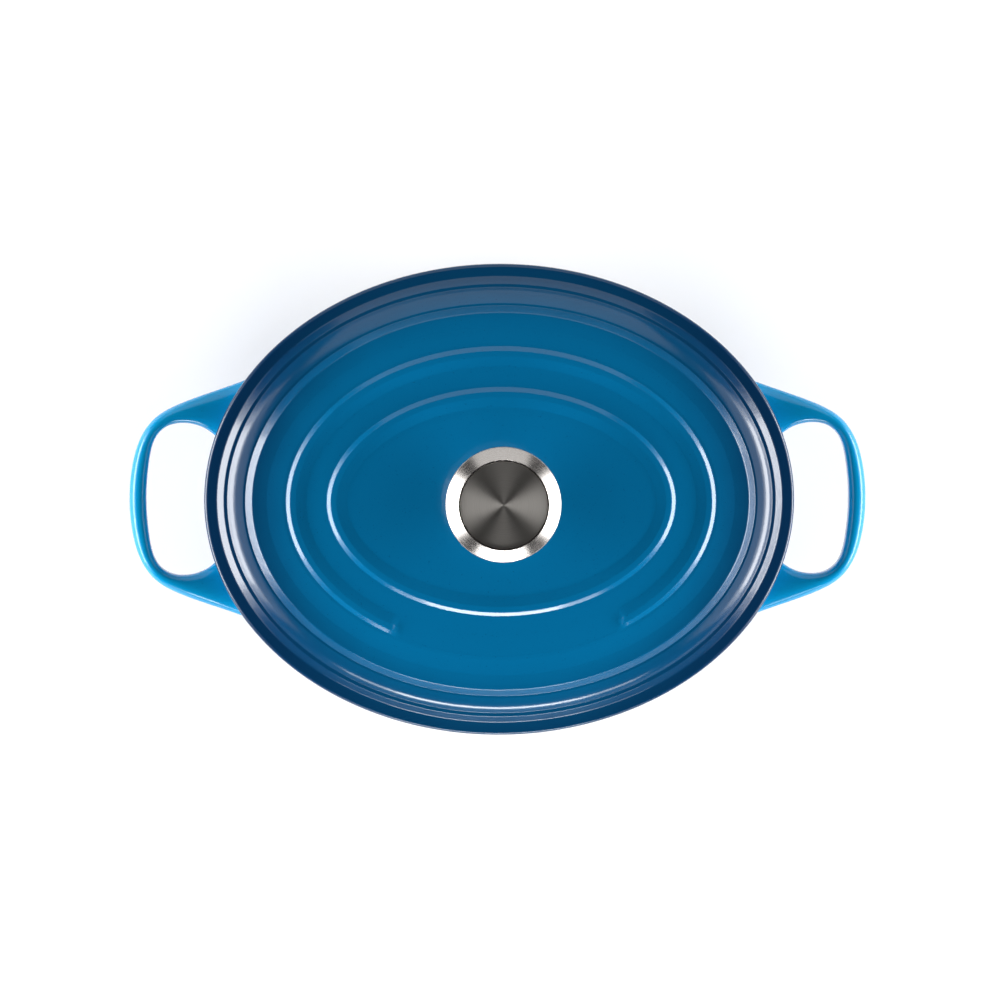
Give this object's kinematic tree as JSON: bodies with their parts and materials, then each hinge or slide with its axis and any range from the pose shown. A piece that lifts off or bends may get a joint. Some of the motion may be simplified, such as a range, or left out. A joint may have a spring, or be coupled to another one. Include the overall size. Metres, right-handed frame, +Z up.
{
  "type": "dutch oven",
  "caption": "Oval enamelled cast iron pot with loop handles at its ends and a stepped, ribbed lid that lifts off by a round steel knob.",
  "frame": {"origin": "middle of the flat foot that the pot stands on", "axes": "+Z up through the knob, X from handle to handle along the oval's long axis, -Y towards the front"},
  "size_m": [0.3722, 0.2364, 0.1661],
  "materials": {
    "pot_enamel": "gloss azure vitreous enamel outside that deepens to navy towards the base, cream enamel inside, matt black rim",
    "lid_enamel": "gloss azure vitreous enamel, navy at the edge, matt black seat, cream enamel underneath",
    "knob_steel": "turned and polished stainless steel, with a finely turned cap disc",
    "fixing_steel": "plain bright zinc-plated steel"
  },
  "bodies": {
    "pot": {"pot_body": "pot_enamel"},
    "lid": {"lid": "lid_enamel", "knob_collar": "knob_steel", "knob_shell": "knob_steel", "knob_cap_disc": "knob_steel", "knob_threaded_insert": "fixing_steel", "flat_washer": "fixing_steel", "lock_washer": "fixing_steel", "knob_screw": "fixing_steel"}
  },
  "joints": [
    {"name": "lid_lift", "type": "slide", "parent": "pot", "child": "lid", "axis": [0, 0, 1], "range_m": [0, 0.2]}
  ]
}
